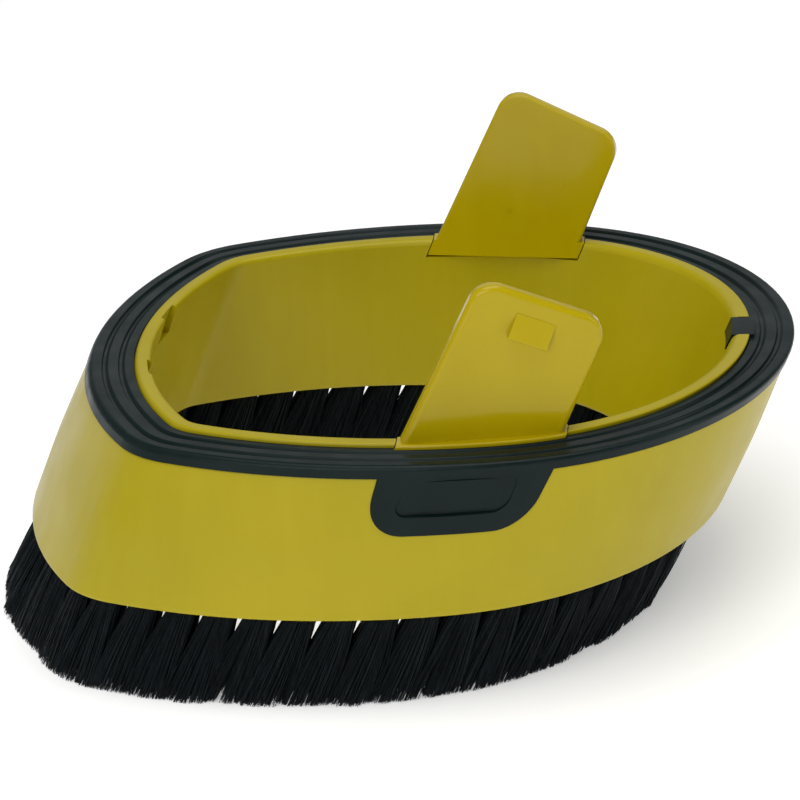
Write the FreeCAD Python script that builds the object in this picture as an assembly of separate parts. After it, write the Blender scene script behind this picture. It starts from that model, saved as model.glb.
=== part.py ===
import FreeCAD, Part
import math
import os

# Clip-on bristle skirt for a hand-held washing head. All sizes in millimetres.
#
# The skirt is an oval ring that leans towards +X. Every plan shape is first built upright, in
# plan coordinates u (length) and y (width), and slant() then leans it by the lean angle. Only
# the two latch tongues are flat plates, so they are built in place. At the end everything is
# moved so that the origin is the middle of the footprint box, on the plane of the bristle tips.

os.makedirs("parts", exist_ok=True)

# driving dimensions: plan outline of the lip, as six tangent arcs
RIGHT_X, RIGHT_R = 7.3, 53.8
SIDE_X, SIDE_R = -1.3, 109.5
LEFT_X, LEFT_R = 19.0, 80.0
CORNER_R = 11.0

# driving dimensions: lean and levels above the bristle tips
LEAN = math.radians(24.2)
RIM_Z = 19.0
LIP_Z = 51.4
COVER_DROP = 0.7
COVER_T = 2.5
SEAM_Z = LIP_Z - COVER_DROP - COVER_T

# shell section, as offsets outward from the lip outline
RIM_OUT = 9.3
BELLY_OUT, BELLY_Z, BELLY_R = 9.6, 33.0, 100.0
SEAM_OUT = 8.9
WALL_T = 2.0
LIP_T = 3.2
RIM_IN = -5.5
INNER_WALL_OUT = -2.3
TUFT_BLOCK_T = 8.0
COVER_PROUD = 0.25
COVER_EDGE_R = 1.0
GROOVES = (2.7, 6.0)
GROOVE_W, GROOVE_FLOOR_W, GROOVE_DEPTH = 1.4, 0.5, 0.5

# bristle tufts
TUFT_COUNT = 50
TUFT_LINE = 2.5
TUFT_R = 3.0
HOLE_GAP = 0.08
TUFT_SEAT = 6.2
TIP_IN, TIP_OUT = -3.0, 5.1
SIDE_SPLAY, BLUNT_SPLAY = 2.4, 3.6
INNER_SHARE = 0.6
TUFT_GAP = 0.3
STAPLE_T, STAPLE_H = 0.4, 1.9
STAPLE_W = 2 * TUFT_R - 0.1

# latch tongues, measured across (w) and along (h) their leaning centre line
TONGUE_U0, TONGUE_U1 = -5.3, 26.5
TONGUE_H = 36.8
TONGUE_TIP_W0, TONGUE_TIP_W1 = 1.7, 28.0
TONGUE_TIP_R = 4.9
TONGUE_FLARE = math.tan(math.radians(5.0))
TONGUE_SHIFT = 0.8
TONGUE_OUT = 1.5
TONGUE_BASE_IN, TONGUE_TIP_IN = -2.3, -1.3
TONGUE_EDGE_OUT_R, TONGUE_EDGE_IN_R = 1.2, 0.6
FOOT_OUT = 1.2
FOOT_DEPTH = 3.3
FOOT_END_GAP = 0.2
FOOT_FLOOR_GAP = 0.45
FOOT_COVER_GAP = 0.25
CATCH_W, CATCH_H0, CATCH_H1, CATCH_T = 7.7, 27.9, 33.0, 1.6
GATE_W, GATE_H, GATE_R, GATE_PROUD = 12.3, 12.9, 0.55, 0.2

# finger pads below the tongues, and the key and the two slots at the ends
PAD_TOP_U0, PAD_TOP_U1 = -7.4, 26.0
PAD_LOW_U0, PAD_LOW_U1 = -5.5, 24.8
PAD_LOW_R0, PAD_LOW_R1 = 9.0, 6.5
PAD_Z0 = LIP_Z - 14.8
PAD_INLAY = 1.1
PAD_GAP = 0.1
GRIP_U0, GRIP_U1 = -1.5, 20.1
GRIP_Z0, GRIP_Z1 = LIP_Z - 11.0, LIP_Z - 2.9
GRIP_DEPTH, GRIP_GROOVE_DEPTH = 0.35, 0.8
GRIP_GROOVE_W = 0.9
GRIP_R = 2.8
KEY_W, KEY_DEPTH, KEY_PROUD = 9.2, 3.2, 0.5
SLOT_W, SLOT_DEPTH, SLOT_H = 7.0, 1.1, 6.0
SLOT_Y = 14.4

UP = FreeCAD.Vector(0, 0, 1)
TALL = 200.0


def meeting_point(centre1, radius1, centre2, radius2):
    """Upper-left meeting point of two circles in the plan."""
    line = centre2 - centre1
    distance = line.Length
    along = (radius1**2 - radius2**2 + distance**2) / (2 * distance)
    across = math.sqrt(radius1**2 - along**2)
    line.normalize()
    side = FreeCAD.Vector(-line.y, line.x, 0)
    foot = centre1 + line * along
    options = [foot + side * across, foot - side * across]
    return max(options, key=lambda point: point.y - point.x)


def angle_of(vector):
    return math.atan2(vector.y, vector.x)


def outline_arcs():
    """Arcs (centre, radius, start angle, end angle) of the lip outline, from the right end on."""
    right = FreeCAD.Vector(RIGHT_X, 0, 0)
    left = FreeCAD.Vector(LEFT_X, 0, 0)
    side_y = math.sqrt((SIDE_R - RIGHT_R) ** 2 - (RIGHT_X - SIDE_X) ** 2)
    back_side = FreeCAD.Vector(SIDE_X, -side_y, 0)
    front_side = FreeCAD.Vector(SIDE_X, side_y, 0)
    back_corner = meeting_point(left, LEFT_R - CORNER_R, back_side, SIDE_R - CORNER_R)
    front_corner = FreeCAD.Vector(back_corner.x, -back_corner.y, 0)
    right_end = angle_of(right - back_side)
    side_end = angle_of(back_corner - back_side)
    corner_end = angle_of(back_corner - left)
    turn = 2 * math.pi
    return [
        (right, RIGHT_R, -right_end, right_end),
        (back_side, SIDE_R, right_end, side_end),
        (back_corner, CORNER_R, side_end, corner_end),
        (left, LEFT_R, corner_end, turn - corner_end),
        (front_corner, CORNER_R, turn - corner_end, turn - side_end),
        (front_side, SIDE_R, turn - side_end, turn - right_end),
    ]


ARCS = outline_arcs()


def plan_point(centre, radius, angle, offset, z):
    reach = radius + offset
    return FreeCAD.Vector(centre.x + reach * math.cos(angle), centre.y + reach * math.sin(angle), z)


def rounded_wire(corners, place):
    """Closed wire through corners (a, b, rounding radius); place(a, b) gives the point in space."""
    cuts = []
    for i in range(len(corners)):
        a, b, radius = corners[i]
        here = FreeCAD.Vector(a, b, 0)
        if radius == 0:
            cuts.append((here, here, here))
            continue
        after = corners[(i + 1) % len(corners)]
        to_before = FreeCAD.Vector(corners[i - 1][0], corners[i - 1][1], 0) - here
        to_after = FreeCAD.Vector(after[0], after[1], 0) - here
        to_before.normalize()
        to_after.normalize()
        half = to_before.getAngle(to_after) / 2
        bisector = to_before + to_after
        bisector.normalize()
        start = here + to_before * (radius / math.tan(half))
        middle = here + bisector * (radius / math.sin(half) - radius)
        end = here + to_after * (radius / math.tan(half))
        cuts.append((start, middle, end))
    edges = []
    for i in range(len(cuts)):
        start, middle, end = cuts[i]
        following = cuts[(i + 1) % len(cuts)][0]
        if start.distanceToPoint(end) > 1e-6:
            points = [place(point.x, point.y) for point in (start, middle, end)]
            edges.append(Part.Arc(points[0], points[1], points[2]).toShape())
        if end.distanceToPoint(following) > 1e-6:
            edges.append(Part.makeLine(place(end.x, end.y), place(following.x, following.y)))
    return Part.Wire(edges)


def ring_of(corners):
    """Upright ring whose section, in (offset, height), follows the lip outline."""
    pieces = []
    for centre, radius, start, end in ARCS:
        def place(offset, z):
            return plan_point(centre, radius, start, offset, z)
        section = Part.Face(rounded_wire(corners, place))
        pieces.append(section.revolve(centre, UP, math.degrees(end - start)))
    return pieces[0].fuse(pieces[1:]).removeSplitter()


def band(inner, outer, low, high):
    """Plain upright ring between two offsets and two heights."""
    return ring_of([(inner, low, 0), (outer, low, 0), (outer, high, 0), (inner, high, 0)])


def side_block(corners, side):
    """Upright block through one long side (+1 back, -1 front) from corners (u, z, rounding)."""
    def place(u, z):
        return FreeCAD.Vector(u, side * 20.0, z)
    face = Part.Face(rounded_wire(corners, place))
    return face.extrude(FreeCAD.Vector(0, side * TALL, 0))


def window(u0, u1, low, high, side):
    """Rectangular upright block through one long side."""
    return side_block([(u0, low, 0), (u1, low, 0), (u1, high, 0), (u0, high, 0)], side)


def pad_block(inset, side):
    """Block through one long side with the finger pad's outline, shrunk by an inset."""
    return side_block([
        (PAD_LOW_U0 + inset, PAD_Z0 + inset, PAD_LOW_R0 - inset),
        (PAD_LOW_U1 - inset, PAD_Z0 + inset, PAD_LOW_R1 - inset),
        (PAD_TOP_U1 - inset, LIP_Z, 0),
        (PAD_TOP_U0 + inset, LIP_Z, 0),
    ], side)


def grip_block(inset, side):
    """Block that widens outward with the finger recess's outline, square to the wall there."""
    middle = (GRIP_U0 + GRIP_U1) / 2
    centre, radius, start, end = ARCS[1] if side > 0 else ARCS[5]
    reach = radius + wall_offset(GRIP_Z0) + COVER_PROUD
    turn = side * math.acos((middle - centre.x) / reach)
    surface = plan_point(centre, reach, turn, 0, 0)
    outward = FreeCAD.Vector(math.cos(turn), math.sin(turn), 0)
    along = FreeCAD.Vector(abs(outward.y), -side * outward.x, 0)
    wires = []
    for out in (-0.9, 1.5):
        def place(u, z):
            return surface + outward * out + along * (u - middle) + UP * z
        grown = 0.3 * out - inset
        wires.append(rounded_wire([
            (GRIP_U0 - grown, GRIP_Z0 - grown, GRIP_R + grown),
            (GRIP_U1 + grown, GRIP_Z0 - grown, GRIP_R + grown),
            (GRIP_U1 + grown, GRIP_Z1 + grown, GRIP_R + grown),
            (GRIP_U0 - grown, GRIP_Z1 + grown, GRIP_R + grown),
        ], place))
    return Part.makeLoft(wires, True, True)


def end_block(middle, width, low, high, side):
    """Upright block through one short end (+1 right, -1 left)."""
    corner = FreeCAD.Vector(0 if side > 0 else -TALL, middle - width / 2, low)
    return Part.makeBox(TALL, width, high - low, corner)


def slant(shape):
    """Lean an upright shape towards +X."""
    lean = FreeCAD.Matrix()
    lean.A13 = math.tan(LEAN)
    return shape.transformGeometry(lean)


def wall_offset(z):
    """Offset of the shell's outer face at a height above its belly."""
    return BELLY_OUT + (SEAM_OUT - BELLY_OUT) * (z - BELLY_Z) / (SEAM_Z - BELLY_Z)


def outline_stations():
    """Places (centre, radius, angle) along the tuft line, one every half tuft pitch."""
    lengths = [(radius + TUFT_LINE) * (end - start) for centre, radius, start, end in ARCS]
    step = sum(lengths) / (2 * TUFT_COUNT)
    stations = []
    travelled = -lengths[0] / 2
    for i in range(2 * TUFT_COUNT):
        target = i * step
        base = travelled
        for (centre, radius, start, end), length in zip(ARCS + ARCS[:1], lengths + lengths[:1]):
            if target <= base + length:
                stations.append((centre, radius, start + (target - base) / (radius + TUFT_LINE)))
                break
            base += length
    return stations


STATIONS = outline_stations()


def make_shell():
    block_top = RIM_Z + TUFT_BLOCK_T
    shell = ring_of([
        (RIM_IN, RIM_Z, 0.7),
        (RIM_OUT, RIM_Z, 0.7),
        (BELLY_OUT, BELLY_Z, BELLY_R),
        (SEAM_OUT, SEAM_Z, 0.3),
        (SEAM_OUT - WALL_T, SEAM_Z, 0.3),
        (RIM_OUT - WALL_T, block_top, 0.8),
        (INNER_WALL_OUT, block_top, 0.8),
        (0, SEAM_Z - 5.0, 2.0),
        (0, LIP_Z, 0.5),
        (-LIP_T, LIP_Z, 1.2),
    ])
    cuts = []
    for centre, radius, angle in STATIONS[1::2]:
        mouth = plan_point(centre, radius, angle, TUFT_LINE, RIM_Z - 1)
        cuts.append(Part.makeCylinder(TUFT_R + HOLE_GAP, TUFT_SEAT + 1, mouth, UP))
    for side in (-1, 1):
        floor = LIP_Z - FOOT_DEPTH - FOOT_FLOOR_GAP
        notch = window(TONGUE_U0 - FOOT_END_GAP, TONGUE_U1 + FOOT_END_GAP, floor, LIP_Z + 5, side)
        cuts.append(notch.common(band(RIM_IN - 1, 2.0, floor - 1, LIP_Z + 6)))
        depth_band = band(SEAM_OUT - PAD_INLAY, RIM_OUT + 5, PAD_Z0 - 1, LIP_Z)
        cuts.append(pad_block(0, side).common(depth_band))
        slot = end_block(side * SLOT_Y, SLOT_W, LIP_Z - SLOT_H, LIP_Z + 5, -1)
        cuts.append(slot.common(band(RIM_IN - 1, SLOT_DEPTH - LIP_T, RIM_Z, LIP_Z + 6)))
    key_slot = end_block(0, KEY_W + 0.1, LIP_Z - KEY_DEPTH, LIP_Z + 5, 1)
    cuts.append(key_slot.common(band(RIM_IN - 1, 2.0, RIM_Z, LIP_Z + 6)))
    return slant(shell.cut(cuts))


def skin(depth):
    """Ring that reaches so deep into the finger pads' outer face, and well past it."""
    return ring_of([
        (wall_offset(GRIP_Z0 - 1) + COVER_PROUD - depth, GRIP_Z0 - 1, 0),
        (RIM_OUT + 5, GRIP_Z0 - 1, 0),
        (RIM_OUT + 5, GRIP_Z1 + 1, 0),
        (wall_offset(GRIP_Z1 + 1) + COVER_PROUD - depth, GRIP_Z1 + 1, 0),
    ])


def groove_corners(middle, top):
    """Section corners of one groove in the cover's top, from its outer edge inward."""
    return [
        (middle + GROOVE_W / 2, top, 0.3),
        (middle + GROOVE_FLOOR_W / 2, top - GROOVE_DEPTH, 0.2),
        (middle - GROOVE_FLOOR_W / 2, top - GROOVE_DEPTH, 0.2),
        (middle - GROOVE_W / 2, top, 0.3),
    ]


def make_cover():
    top = LIP_Z - COVER_DROP
    under = SEAM_Z
    outer_spigot = SEAM_OUT - WALL_T - 0.1
    side_face = SEAM_OUT + COVER_PROUD
    cover = ring_of([
        (0.12, under - 3.0, 0.3),
        (1.4, under - 3.0, 0.3),
        (1.4, under, 0.4),
        (outer_spigot - 1.4, under, 0.4),
        (outer_spigot - 1.4, under - 4.0, 0.3),
        (outer_spigot, under - 4.0, 0.3),
        (outer_spigot, under + 0.05, 0),
        (side_face, under + 0.05, 0),
        (side_face, top, COVER_EDGE_R),
        *groove_corners(GROOVES[1], top),
        *groove_corners(GROOVES[0], top),
        (0.12, top, 0.3),
    ])
    pads = []
    cuts = []
    for side in (-1, 1):
        pad_section = [
            (SEAM_OUT - PAD_INLAY + PAD_GAP, PAD_Z0, 0),
            (wall_offset(PAD_Z0) + COVER_PROUD, PAD_Z0, 0),
            (side_face, under, 0),
            (side_face, under + 1.2, 0),
            (SEAM_OUT - PAD_INLAY + PAD_GAP, under + 1.2, 0),
        ]
        pads.append(pad_block(PAD_GAP, side).common(ring_of(pad_section)))
        cuts.append(grip_block(0, side).common(skin(GRIP_DEPTH)))
        frame = grip_block(0, side).cut(grip_block(GRIP_GROOVE_W, side))
        cuts.append(frame.common(skin(GRIP_GROOVE_DEPTH)))
        foot_u0 = TONGUE_U0 - FOOT_END_GAP
        foot_u1 = TONGUE_U1 + FOOT_END_GAP
        pocket = window(foot_u0, foot_u1, SEAM_Z - 10, LIP_Z + 5, side)
        pocket_band = band(-2, FOOT_OUT + FOOT_COVER_GAP, SEAM_Z - 9, LIP_Z + 4)
        cuts.append(pocket.common(pocket_band))
        spigot_cut = window(foot_u0 - 1, foot_u1 + 1, SEAM_Z - 10, SEAM_Z, side)
        cuts.append(spigot_cut.common(band(-2, FOOT_OUT + 1.2, SEAM_Z - 9, SEAM_Z - 0.02)))
    key_span = end_block(0, KEY_W, LIP_Z - KEY_DEPTH + 0.05, LIP_Z - 0.1, 1)
    key_across = key_span.common(band(-LIP_T - KEY_PROUD, 0.8, RIM_Z, LIP_Z + 6))
    cover = cover.fuse(pads + [key_across]).cut(cuts)
    return slant(cover.removeSplitter())


def lip_point(u, offset, side):
    """Point of the offset lip outline on one long side at a given length u, at lip level."""
    centre, radius, start, end = ARCS[0]
    if u < plan_point(centre, radius, end, offset, 0).x:
        centre, radius, start, end = ARCS[1] if side > 0 else ARCS[5]
    y = centre.y + side * math.sqrt((radius + offset) ** 2 - (u - centre.x) ** 2)
    return FreeCAD.Vector(u, y, LIP_Z)


def tongue_frame(side):
    """Origin, direction along the lip and outward direction of one tongue's flat plate."""
    left = lip_point(TONGUE_U0, -LIP_T / 2, side)
    right = lip_point(TONGUE_U1, -LIP_T / 2, side)
    along = right - left
    along.normalize()
    outward = FreeCAD.Vector(-side * along.y, side * along.x, 0)
    start = left + outward * TONGUE_SHIFT
    start.x += math.tan(LEAN) * LIP_Z
    return start, along, outward


def inner_level(z):
    """Distance of a tongue's inner face from its middle plane; the tongue thins upward."""
    rise = (z - LIP_Z + FOOT_DEPTH) / (TONGUE_H + FOOT_DEPTH)
    return TONGUE_BASE_IN + (TONGUE_TIP_IN - TONGUE_BASE_IN) * rise


def edges_on(blade, distance):
    """Edges above the foot whose ends and middle lie on the face where distance(point) is 0."""
    chosen = []
    for edge in blade.Edges:
        points = [vertex.Point for vertex in edge.Vertexes]
        middle = edge.valueAt((edge.FirstParameter + edge.LastParameter) / 2)
        on_face = all(abs(distance(point)) < 1e-4 for point in points + [middle])
        if on_face and middle.z > LIP_Z + 3:
            chosen.append(edge)
    return chosen


def make_tongue(side):
    start, along, outward = tongue_frame(side)
    base_w = TONGUE_U1 - TONGUE_U0
    def place(w, h, out):
        a = w * math.cos(LEAN) + h * math.sin(LEAN)
        z = h * math.cos(LEAN) - w * math.sin(LEAN)
        return start + along * a + UP * z + outward * (out + TONGUE_FLARE * z)
    def level(point):
        return (point - start).dot(outward) - TONGUE_FLARE * (point.z - LIP_Z)
    foot_rise = base_w * math.sin(LEAN)
    outline = rounded_wire([
        (0.45, -2.5, 0),
        (base_w * math.cos(LEAN) - 0.4, foot_rise - 2.5, 0),
        (TONGUE_TIP_W1, TONGUE_H, TONGUE_TIP_R),
        (TONGUE_TIP_W0, TONGUE_H, TONGUE_TIP_R),
    ], lambda w, h: place(w, h, -5.0))
    blade = Part.Face(outline).extrude(outward * (5.0 + TONGUE_OUT))
    behind = []
    for z, out in (
        (LIP_Z - 8, -12.0),
        (LIP_Z - 8, inner_level(LIP_Z - 8)),
        (LIP_Z + 45, inner_level(LIP_Z + 45)),
        (LIP_Z + 45, -12.0),
    ):
        reach = out + TONGUE_FLARE * (z - LIP_Z)
        behind.append(start - along * 15 + UP * (z - LIP_Z) + outward * reach)
    waste = Part.Face(Part.makePolygon(behind + [behind[0]])).extrude(along * 75)
    blade = blade.cut(waste)
    blade = blade.makeFillet(TONGUE_EDGE_OUT_R, edges_on(blade, lambda p: level(p) - TONGUE_OUT))
    blade = blade.makeFillet(TONGUE_EDGE_IN_R, edges_on(blade, lambda p: level(p) - inner_level(p.z)))
    foot = window(TONGUE_U0, TONGUE_U1, LIP_Z - FOOT_DEPTH - 1, LIP_Z + 1, side)
    foot = slant(foot.common(ring_of([
        (-7.0, LIP_Z - FOOT_DEPTH, 0),
        (FOOT_OUT, LIP_Z - FOOT_DEPTH, 0.3),
        (FOOT_OUT, LIP_Z, 0.5),
        (-7.0, LIP_Z, 0),
    ]))).cut(waste)
    middle = (TONGUE_TIP_W0 + TONGUE_TIP_W1) / 2 - 0.2
    wedge = [
        (CATCH_H0, TONGUE_OUT - 0.3, 0),
        (CATCH_H0, TONGUE_OUT + CATCH_T, 0.3),
        (CATCH_H1, TONGUE_OUT + 0.1, 0),
        (CATCH_H1, TONGUE_OUT - 0.3, 0),
    ]
    wedge_wire = rounded_wire(wedge, lambda h, out: place(middle - CATCH_W / 2, h, out))
    across = place(middle + CATCH_W / 2, 0, 0) - place(middle - CATCH_W / 2, 0, 0)
    catch = Part.Face(wedge_wire).extrude(across)
    gate_foot = place(GATE_W, GATE_H, 0)
    gate_foot = gate_foot + outward * (inner_level(gate_foot.z) - GATE_PROUD)
    gate = Part.makeCylinder(GATE_R, GATE_PROUD + 0.5, gate_foot, outward)
    return blade.fuse([foot, catch, gate]).removeSplitter()


def lean_up(face, height):
    """Solid swept from a level face up along the lean direction."""
    return face.extrude(FreeCAD.Vector(math.tan(LEAN) * height, 0, height))


def leaned(point):
    return FreeCAD.Vector(point.x + math.tan(LEAN) * point.z, point.y, point.z)


def tip_offset(angle, base, share):
    """Offset of a tip corner; the tufts splay more on the long sides and the left, blunt end."""
    splay = SIDE_SPLAY * math.sin(angle) ** 4 + BLUNT_SPLAY * max(0.0, -math.cos(angle)) ** 14
    return base + share * splay


def staple_block(margin, spot, angle):
    """Leaning block of a staple's size, grown by a margin, lying across a tuft hole."""
    wide = STAPLE_W / 2 + margin
    thick = STAPLE_T / 2 + margin
    low = RIM_Z + TUFT_SEAT - 0.2 - STAPLE_H - margin
    cosine = math.cos(angle)
    sine = math.sin(angle)
    corners = []
    for a, b in ((wide, thick), (-wide, thick), (-wide, -thick), (wide, -thick)):
        corner = FreeCAD.Vector(a * cosine - b * sine, a * sine + b * cosine, low)
        corners.append(leaned(spot + corner))
    outline = Part.makePolygon(corners + [corners[0]])
    return lean_up(Part.Face(outline), STAPLE_H + 2 * margin + 0.1)


def make_tuft(index):
    """One tuft: a round root in its hole, splaying to a flat-ended block at the tips."""
    before = STATIONS[2 * index]
    centre, radius, angle = STATIONS[2 * index + 1]
    after = STATIONS[(2 * index + 2) % len(STATIONS)]
    root_centre = plan_point(centre, radius, angle, TUFT_LINE, RIM_Z)
    tip = []
    for station, base, share, towards in (
        (before, TIP_IN, INNER_SHARE, after),
        (before, TIP_OUT, 1, after),
        (after, TIP_OUT, 1, before),
        (after, TIP_IN, INNER_SHARE, before),
    ):
        offset = tip_offset(station[2], base, share)
        corner = plan_point(station[0], station[1], station[2], offset, 0)
        offset = tip_offset(towards[2], base, share)
        other = plan_point(towards[0], towards[1], towards[2], offset, 0)
        step = other - corner
        step.normalize()
        tip.append(corner + step * (TUFT_GAP / 2))
    tip_wire = Part.makePolygon(tip + [tip[0]])
    arcs = []
    for i in range(4):
        def on_circle(point_angle):
            return leaned(plan_point(root_centre, TUFT_R, point_angle, 0, RIM_Z))
        start = angle_of(tip[i] - root_centre)
        end = angle_of(tip[(i + 1) % 4] - root_centre)
        sweep = (end - start + math.pi) % (2 * math.pi) - math.pi
        points = [on_circle(start), on_circle(start + sweep / 2), on_circle(start + sweep)]
        arcs.append(Part.Arc(points[0], points[1], points[2]).toShape())
    root_wire = Part.Wire(arcs)
    spread = Part.makeLoft([root_wire, tip_wire], True, True)
    stem = lean_up(Part.Face(root_wire), TUFT_SEAT - 0.2)
    plan_centre = FreeCAD.Vector(root_centre.x, root_centre.y, 0)
    slot = staple_block(0.05, plan_centre, angle)
    return spread.fuse(stem.cut(slot)).removeSplitter()


def make_staples():
    """Flat metal anchors that hold the folded tufts in the bottom of their holes."""
    staples = []
    for centre, radius, angle in STATIONS[1::2]:
        spot = plan_point(centre, radius, angle, TUFT_LINE, 0)
        staples.append(staple_block(0, spot, angle))
    return Part.makeCompound(staples)


shapes = {
    "body_shell": make_shell(),
    "rim_cover": make_cover(),
    "latch_tongue_front": make_tongue(-1),
    "latch_tongue_back": make_tongue(1),
    "tuft_anchors": make_staples(),
}
for number in range(TUFT_COUNT):
    shapes["tuft_%02d" % (number + 1)] = make_tuft(number)

box = FreeCAD.BoundBox()
for shape in shapes.values():
    box.add(shape.optimalBoundingBox(True, False))
to_origin = FreeCAD.Vector(-box.Center.x, -box.Center.y, -box.ZMin)

for name, shape in shapes.items():
    shape.translate(to_origin)
    shape.exportStep("parts/" + name + ".step")
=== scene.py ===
import math

import bpy
import numpy as np
from mathutils import Matrix, Vector


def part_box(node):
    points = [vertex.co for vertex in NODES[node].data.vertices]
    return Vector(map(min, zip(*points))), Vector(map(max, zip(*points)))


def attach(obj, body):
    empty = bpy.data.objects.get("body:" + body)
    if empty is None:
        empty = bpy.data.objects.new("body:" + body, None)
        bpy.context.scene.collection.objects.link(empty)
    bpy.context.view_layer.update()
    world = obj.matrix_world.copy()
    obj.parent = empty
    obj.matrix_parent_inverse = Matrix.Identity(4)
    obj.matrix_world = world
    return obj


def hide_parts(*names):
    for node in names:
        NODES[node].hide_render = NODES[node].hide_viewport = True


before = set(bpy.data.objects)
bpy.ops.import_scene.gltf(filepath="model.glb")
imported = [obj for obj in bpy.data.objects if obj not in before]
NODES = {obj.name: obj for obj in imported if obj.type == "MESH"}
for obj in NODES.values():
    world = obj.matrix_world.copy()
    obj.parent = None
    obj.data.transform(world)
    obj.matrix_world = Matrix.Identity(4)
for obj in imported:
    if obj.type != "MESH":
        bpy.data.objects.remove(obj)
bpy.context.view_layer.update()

MM = 0.001

# levels, read from the CAD solids
RIM_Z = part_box("body_shell")[0].z
LIP_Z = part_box("body_shell")[1].z
LEAN = math.radians(24.2)
COVER_END = 69.58 * MM  # from the lip's middle to the cover's round end
NEAR = 0.1 * MM  # points this near to a level count as being on it

# camera: in front of the lip's middle, a little to the left, above and rolled
VIEW_ELEVATION = math.radians(23.16)
VIEW_TURN = math.radians(5.6)
VIEW_ROLL = math.radians(-3.43)
VIEW_DISTANCE = 0.800
VIEW_LENS, VIEW_SENSOR = 180.8, 36
AIM_ACROSS, AIM_UP = -8.61 * MM, -13.54 * MM
LIP_CENTRE = Vector((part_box("rim_cover")[1].x - COVER_END, 0, LIP_Z))

# bristle filaments: how many to a tuft, and the rings and sides of each one's mesh
SEED = 7
FILAMENTS = 620
RINGS = 8
SIDES = 3
FILAMENT_R = 0.14 * MM
TAPER = 0.1
TIP_THICKNESS = 0.7

# roots: a round bundle that starts a little way up the hole
ROOT_R = 2.95 * MM
ROOT_HIDDEN = 1.5 * MM

# clumps: how many to a tuft, how far out their middles lie, and how strongly each one gathers
CLUMPS = 9
CLUMP_REACH = 0.85
CLUMP_PULL = 0.12

# tips: how far past the CAD tuft's tip they spread along and across the rim, how much less they
# reach at a tuft's corners, how they crowd to its edges, and how soon they fan out
TIP_SPREAD = 1.24
TIP_REACH = 0.06
TIP_ROUNDING = 0.10
EDGE_CROWDING = 0.7
FAN_POWER = 1.6

# random changes of place and length: from tuft to tuft, clump to clump and filament to filament
TUFT_DRIFT = 0.3 * MM
CLUMP_DRIFT = 0.2 * MM
FILAMENT_DRIFT = 0.1 * MM
BOW = 0.2 * MM
SHORTER_MEAN = 0.07 * MM
SHORTER_TUFT = 0.1 * MM
SHORTER_MOST = 0.6 * MM

# studio: softboxes as (name, place, size in metres, power in watts)
STUDIO_MIDDLE = (0, 0, 0.04)
SOFTBOXES = (
    ("top_softbox", (0.05, -0.1, 1.3), (1.2, 1.0), 10.5),
    ("front_softbox", (-0.5, -1.3, 0.75), (1.0, 0.8), 7.6),
    ("right_softbox", (1.2, -0.2, 0.6), (0.6, 0.8), 2.5),
    ("left_softbox", (-1.3, 0.1, 0.7), (0.6, 0.8), 0.6),
    ("back_softbox", (0.1, 1.4, 0.62), (1.8, 0.5), 1.4),
)
WORLD_STRENGTH = 0.15
FLOOR_SIZE = 8
FLOOR_GLOW = 0.33

# lighter and darker tone of each yellow moulding
SHELL_TONES = (0.46, 0.368, 0.0015), (0.42, 0.338, 0.001)
TONGUE_TONES = (0.50, 0.375, 0.001), (0.46, 0.345, 0.0008)


def add_camera():
    right = Vector((math.cos(VIEW_TURN), math.sin(VIEW_TURN), 0))
    forward = Vector((
        -math.sin(VIEW_TURN) * math.cos(VIEW_ELEVATION),
        math.cos(VIEW_TURN) * math.cos(VIEW_ELEVATION),
        -math.sin(VIEW_ELEVATION),
    ))
    up = right.cross(forward)
    across = right * math.cos(VIEW_ROLL) + up * math.sin(VIEW_ROLL)
    upward = up * math.cos(VIEW_ROLL) - right * math.sin(VIEW_ROLL)
    aim = LIP_CENTRE + across * AIM_ACROSS + upward * AIM_UP
    place = aim - forward * VIEW_DISTANCE
    data = bpy.data.cameras.new("camera")
    data.lens = VIEW_LENS
    data.sensor_width = VIEW_SENSOR
    data.clip_start = 0.01
    camera = bpy.data.objects.new("camera", data)
    camera.matrix_world = Matrix((
        (across.x, upward.x, -forward.x, place.x),
        (across.y, upward.y, -forward.y, place.y),
        (across.z, upward.z, -forward.z, place.z),
        (0, 0, 0, 1),
    ))
    bpy.context.scene.collection.objects.link(camera)
    bpy.context.scene.camera = camera


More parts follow.
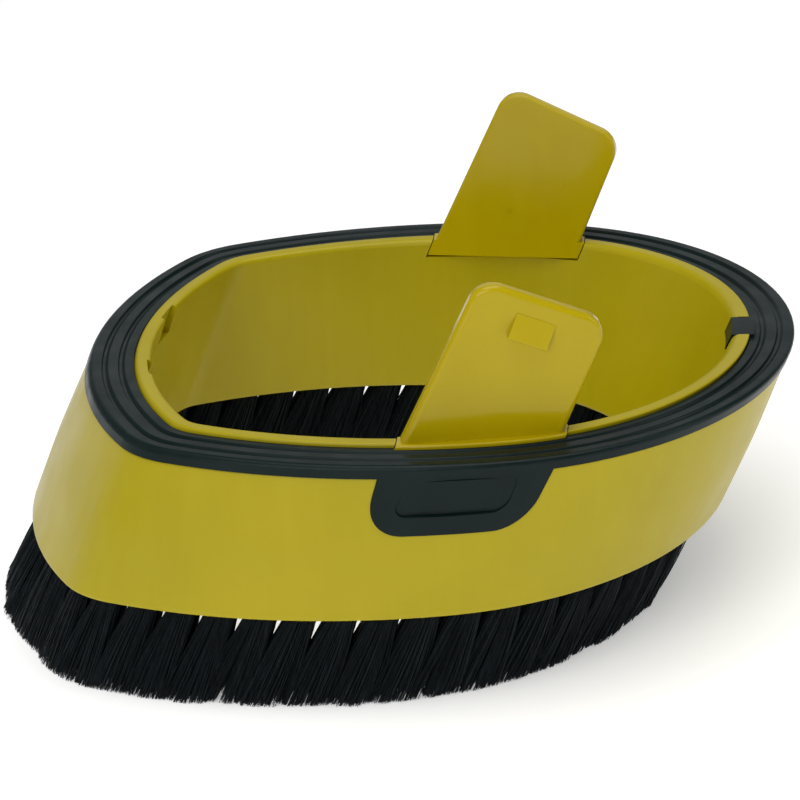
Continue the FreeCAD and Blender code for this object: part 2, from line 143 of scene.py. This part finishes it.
class Material:
    """A principled material with short helpers for the nodes that its detail needs."""

    def __init__(self, name, color, roughness, specular=0.5):
        self.data = bpy.data.materials.new(name)
        self.data.use_nodes = True
        self.tree = self.data.node_tree
        self.shader = self.tree.nodes["Principled BSDF"]
        self.shader.inputs["Base Color"].default_value = (*color, 1)
        self.shader.inputs["Roughness"].default_value = roughness
        self.shader.inputs["Specular IOR Level"].default_value = specular
        self.place = self.tree.nodes.new("ShaderNodeTexCoord").outputs["Object"]

    def link(self, source, target):
        self.tree.links.new(source, target)

    def noise(self, per_metre, detail=3.0, stretch=(1, 1, 1), distortion=0.0):
        """Noise with so many features to the metre, drawn out along the axes given less than 1."""
        scale = self.tree.nodes.new("ShaderNodeMapping")
        scale.inputs["Scale"].default_value = [per_metre * s for s in stretch]
        node = self.tree.nodes.new("ShaderNodeTexNoise")
        node.inputs["Scale"].default_value = 1
        node.inputs["Detail"].default_value = detail
        node.inputs["Distortion"].default_value = distortion
        self.link(self.place, scale.inputs["Vector"])
        self.link(scale.outputs["Vector"], node.inputs["Vector"])
        return node.outputs["Fac"]

    def spread(self, source, low, high, to_low, to_high):
        """Maps one range of values to another, without going past its ends."""
        node = self.tree.nodes.new("ShaderNodeMapRange")
        sockets = "From Min", "From Max", "To Min", "To Max"
        for socket, value in zip(sockets, (low, high, to_low, to_high)):
            node.inputs[socket].default_value = value
        self.link(source, node.inputs["Value"])
        return node.outputs["Result"]

    def mix(self, factor, first, second):
        """Blend of two colours, each a colour or another node's output."""
        node = self.tree.nodes.new("ShaderNodeMix")
        node.data_type = "RGBA"
        self.link(factor, node.inputs["Factor"])
        for socket, value in ((node.inputs[6], first), (node.inputs[7], second)):
            if isinstance(value, tuple):
                socket.default_value = (*value, 1)
            else:
                self.link(value, socket)
        return node.outputs[2]

    def bump(self, height, depth, strength=1.0, below=None):
        node = self.tree.nodes.new("ShaderNodeBump")
        node.inputs["Strength"].default_value = strength
        node.inputs["Distance"].default_value = depth
        self.link(height, node.inputs["Height"])
        if below is not None:
            self.link(below, node.inputs["Normal"])
        return node.outputs["Normal"]

    def set(self, socket, source):
        self.link(source, self.shader.inputs[socket])


def yellow_plastic(name, roughness, light, dark):
    """Satin moulded plastic: faint flow streaks, fine orange peel and handled patches."""
    m = Material(name, light, roughness, 0.28)
    clouds = m.spread(m.noise(28, 4), 0.35, 0.65, 0, 1)
    streaks = m.spread(m.noise(260, 3, (1, 1, 0.08), 0.4), 0.4, 0.75, 0, 1)
    base = m.mix(clouds, light, dark)
    base = m.mix(m.spread(streaks, 0, 1, 0, 0.13), base, (0.54, 0.455, 0.012))
    specks = m.spread(m.noise(1500, 2), 0.73, 0.80, 0, 0.35)
    m.set("Base Color", m.mix(specks, base, (0.20, 0.16, 0.004)))
    m.set("Roughness", m.spread(m.noise(90, 5), 0.3, 0.7, roughness - 0.05, roughness + 0.07))
    peel = m.bump(m.noise(420, 2), 0.05 * MM, 0.35)
    m.set("Normal", m.bump(m.noise(3200, 2), 0.012 * MM, 0.5, peel))
    return m.data


def black_plastic(name):
    """Dark blue-green moulded cover: fine grain, soft sheen and paler handled patches."""
    m = Material(name, (0.004, 0.008, 0.008), 0.35, 0.16)
    clouds = m.spread(m.noise(60, 4), 0.35, 0.7, 0, 1)
    base = m.mix(clouds, (0.0030, 0.0098, 0.0094), (0.0058, 0.0150, 0.0144))
    specks = m.spread(m.noise(1800, 2), 0.72, 0.80, 0, 0.5)
    m.set("Base Color", m.mix(specks, base, (0.03, 0.04, 0.04)))
    m.set("Roughness", m.spread(m.noise(140, 5), 0.3, 0.7, 0.28, 0.42))
    grain = m.bump(m.noise(2600, 3), 0.02 * MM, 0.6)
    m.set("Normal", m.bump(m.noise(350, 2), 0.04 * MM, 0.3, grain))
    return m.data


def bristle_nylon(name):
    """Near-black filament, with a little change of tone from strand to strand."""
    m = Material(name, (0.004, 0.006, 0.007), 0.5, 0.15)
    strands = m.spread(m.noise(1400, 2, (1, 1, 0.06)), 0.35, 0.7, 0, 1)
    m.set("Base Color", m.mix(strands, (0.0025, 0.0050, 0.0066), (0.0072, 0.0125, 0.0160)))
    m.set("Roughness", m.spread(m.noise(500, 2), 0.3, 0.7, 0.42, 0.6))
    m.set("Normal", m.bump(m.noise(5000, 1, (1, 1, 0.2)), 0.01 * MM, 0.4))
    return m.data


def wire_steel(name):
    """Drawn wire or strip, with fine streaks in its sheen."""
    m = Material(name, (0.55, 0.55, 0.56), 0.3)
    m.shader.inputs["Metallic"].default_value = 1
    m.set("Roughness", m.spread(m.noise(900, 3, (1, 0.1, 1)), 0.3, 0.7, 0.22, 0.4))
    return m.data


def floor_paper(name):
    """White studio paper, lit a little from behind so that the shadows stay soft."""
    m = Material(name, (0.93, 0.93, 0.93), 0.8, 0.1)
    m.set("Base Color", m.mix(m.noise(40, 3), (0.93, 0.93, 0.93), (0.95, 0.95, 0.95)))
    m.shader.inputs["Emission Color"].default_value = (1, 1, 1, 1)
    m.shader.inputs["Emission Strength"].default_value = FLOOR_GLOW
    return m.data


def cell_of(node):
    """Root centre and the four tip corners of one CAD tuft; the first two lie along the rim."""
    points = np.array([v.co for v in node.data.vertices])
    low = np.unique(points[points[:, 2] < NEAR].round(6), axis=0)
    ring = points[abs(points[:, 2] - RIM_Z) < NEAR]
    root = (ring.min(0) + ring.max(0)) / 2
    middle = low.mean(0)
    turn = np.arctan2(low[:, 1] - middle[1], low[:, 0] - middle[0])
    corners = low[np.argsort(turn)]
    sides = np.linalg.norm(np.roll(corners, -1, axis=0) - corners, axis=1)
    if sides[0] + sides[2] > sides[1] + sides[3]:
        corners = np.roll(corners, -1, axis=0)
    return root, corners


def filament_bundle(name, node, random):
    """One tuft as a bundle of fine tapered filaments that fan out below the rim."""
    root, corners = cell_of(node)
    middle = corners.mean(0)
    across = corners[1] - corners[0]
    across = across / np.linalg.norm(across)
    beside = np.array([-across[1], across[0], 0])

    spots = random.uniform(-1, 1, (FILAMENTS, 2))
    spots[:, 1] = np.sign(spots[:, 1]) * np.abs(spots[:, 1]) ** EDGE_CROWDING
    heads = random.uniform(-CLUMP_REACH, CLUMP_REACH, (CLUMPS, 2))
    nearest = ((spots[:, None] - heads[None]) ** 2).sum(2).argmin(1)
    gathered = spots + (heads[nearest] - spots) * CLUMP_PULL
    gathered[:, 1] *= 1 + TIP_REACH - TIP_ROUNDING * spots[:, 0] ** 2

    a = (gathered[:, :1] * TIP_SPREAD + 1) / 2
    b = (gathered[:, 1:] + 1) / 2
    near_edge = corners[0] * (1 - a) + corners[1] * a
    far_edge = corners[3] * (1 - a) + corners[2] * a
    tips = near_edge * (1 - b) + far_edge * b
    disc_a = spots[:, :1] * np.sqrt(1 - spots[:, 1:] ** 2 / 2)
    disc_b = spots[:, 1:] * np.sqrt(1 - spots[:, :1] ** 2 / 2)
    roots = root + ROOT_R * (disc_a * across + disc_b * beside)

    drift = random.normal(0, CLUMP_DRIFT, (CLUMPS, 3))[nearest]
    drift = drift + random.normal(0, FILAMENT_DRIFT, (FILAMENTS, 3))
    drift = drift + beside * random.normal(0, TUFT_DRIFT)
    drift[:, 2] = 0
    bow = random.normal(0, BOW, (FILAMENTS, 3))
    bow[:, 2] = 0
    shorter = random.exponential(SHORTER_MEAN, FILAMENTS) + random.uniform(0, SHORTER_TUFT)
    shorter[np.argmin(shorter)] = 0
    shorter = np.minimum(shorter, SHORTER_MOST)

    lean = math.tan(LEAN)
    verts = []
    phase = random.uniform(0, 2 * math.pi, FILAMENTS)
    for ring in range(RINGS):
        t = -ROOT_HIDDEN / RIM_Z + (1 + ROOT_HIDDEN / RIM_Z) * ring / (RINGS - 1)
        grown = max(t, 0)
        fan = 1 - (1 - grown) ** FAN_POWER
        spine = root + (middle - root) * t
        line = spine + (roots - root) * (1 - fan) + (tips - middle) * fan
        line = line + drift * grown**2 + bow * math.sin(math.pi * grown)
        line[:, 2] = RIM_Z - t * (RIM_Z - shorter)
        line[:, 0] += shorter * grown * lean
        thick = FILAMENT_R * (1 - TAPER * grown) * (TIP_THICKNESS if ring == RINGS - 1 else 1)
        for side in range(SIDES):
            angle = phase + 2 * math.pi * side / SIDES
            offset = np.stack([np.cos(angle), np.sin(angle), np.zeros(FILAMENTS)], 1) * thick
            verts.append(line + offset)
    verts = np.stack(verts, 1).reshape(-1, 3)

    faces = []
    for filament in range(FILAMENTS):
        base = filament * RINGS * SIDES
        for ring in range(RINGS - 1):
            for side in range(SIDES):
                first = base + ring * SIDES + side
                second = base + ring * SIDES + (side + 1) % SIDES
                faces.append((first, first + SIDES, second + SIDES, second))
        last = base + (RINGS - 1) * SIDES
        faces.append(tuple(base + side for side in range(SIDES)))
        faces.append(tuple(last + side for side in reversed(range(SIDES))))
    mesh = bpy.data.meshes.new(name)
    mesh.from_pydata(verts.tolist(), [], faces)
    mesh.polygons.foreach_set("use_smooth", [True] * len(mesh.polygons))
    mesh.update()
    return mesh


def add_bristles(material):
    random = np.random.default_rng(SEED)
    for node_name in sorted(NODES):
        if not node_name.startswith("tuft_") or node_name == "tuft_anchors":
            continue
        name = node_name.replace("tuft", "bristles")
        mesh = filament_bundle(name, NODES[node_name], random)
        mesh.materials.append(material)
        tuft = bpy.data.objects.new(name, mesh)
        bpy.context.scene.collection.objects.link(tuft)
        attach(tuft, "skirt")
        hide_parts(node_name)


def give_material(node_name, material):
    mesh = NODES[node_name].data
    mesh.materials.clear()
    mesh.materials.append(material)


def add_softbox(name, place, size, power):
    data = bpy.data.lights.new(name, "AREA")
    data.shape = "RECTANGLE"
    data.size, data.size_y = size
    data.energy = power
    light = bpy.data.objects.new(name, data)
    light.location = place
    light.rotation_mode = "QUATERNION"
    towards = Vector(STUDIO_MIDDLE) - Vector(place)
    light.rotation_quaternion = towards.to_track_quat("-Z", "Y")
    bpy.context.scene.collection.objects.link(light)


def add_studio():
    bpy.ops.mesh.primitive_plane_add(size=FLOOR_SIZE)
    floor = bpy.context.object
    floor.name = "floor"
    floor.data.materials.append(floor_paper("floor_paper"))
    world = bpy.data.worlds.new("studio")
    bpy.context.scene.world = world
    world.use_nodes = True
    background = world.node_tree.nodes["Background"]
    background.inputs["Color"].default_value = (0.95, 0.97, 1, 1)
    background.inputs["Strength"].default_value = WORLD_STRENGTH
    for softbox in SOFTBOXES:
        add_softbox(*softbox)
    bpy.context.scene.view_settings.view_transform = "Standard"


add_camera()
give_material("body_shell", yellow_plastic("yellow_shell", 0.34, *SHELL_TONES))
tongue_material = yellow_plastic("yellow_tongue", 0.12, *TONGUE_TONES)
give_material("latch_tongue_front", tongue_material)
give_material("latch_tongue_back", tongue_material)
give_material("rim_cover", black_plastic("black_cover"))
give_material("tuft_anchors", wire_steel("anchor_steel"))
add_bristles(bristle_nylon("bristle_nylon"))
add_studio()
